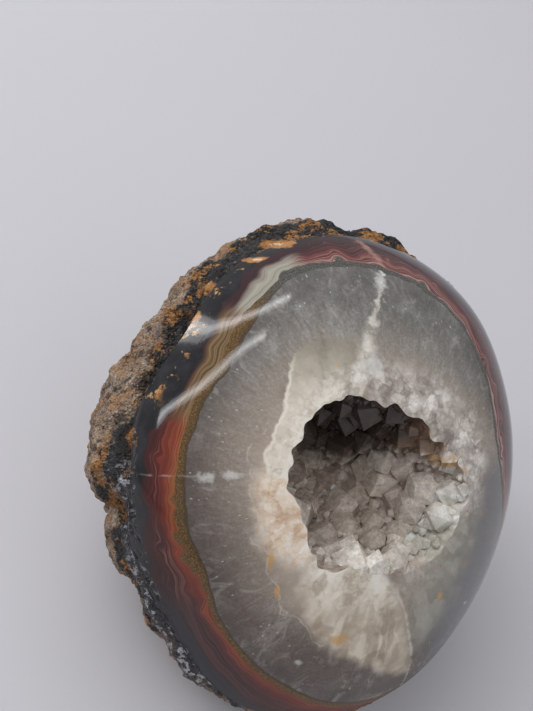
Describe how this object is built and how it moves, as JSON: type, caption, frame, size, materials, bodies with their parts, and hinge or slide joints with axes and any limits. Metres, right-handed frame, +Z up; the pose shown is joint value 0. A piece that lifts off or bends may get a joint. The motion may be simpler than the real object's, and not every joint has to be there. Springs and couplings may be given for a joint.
{
  "type": "druzy agate",
  "caption": "Banded agate nodule with a rough rind and a polished domed face, opened by a hollow lined with quartz crystals, leaning back on a flat underside.",
  "frame": {"origin": "middle of the bounding box's bottom, level with the flat the stone stands on", "axes": "+Z up; the polished face looks towards -Y and up, its axis 53 degrees above level"},
  "size_m": [0.065, 0.0676, 0.0549],
  "materials": {
    "agate": "polished banded chalcedony on the face, rough brown rind round the sides and back",
    "quartz": "translucent grey-brown quartz points with sharp flat faces"
  },
  "bodies": {
    "root": {"agate_nodule": "agate", "crystal_crust": "quartz"}
  },
  "joints": []
}
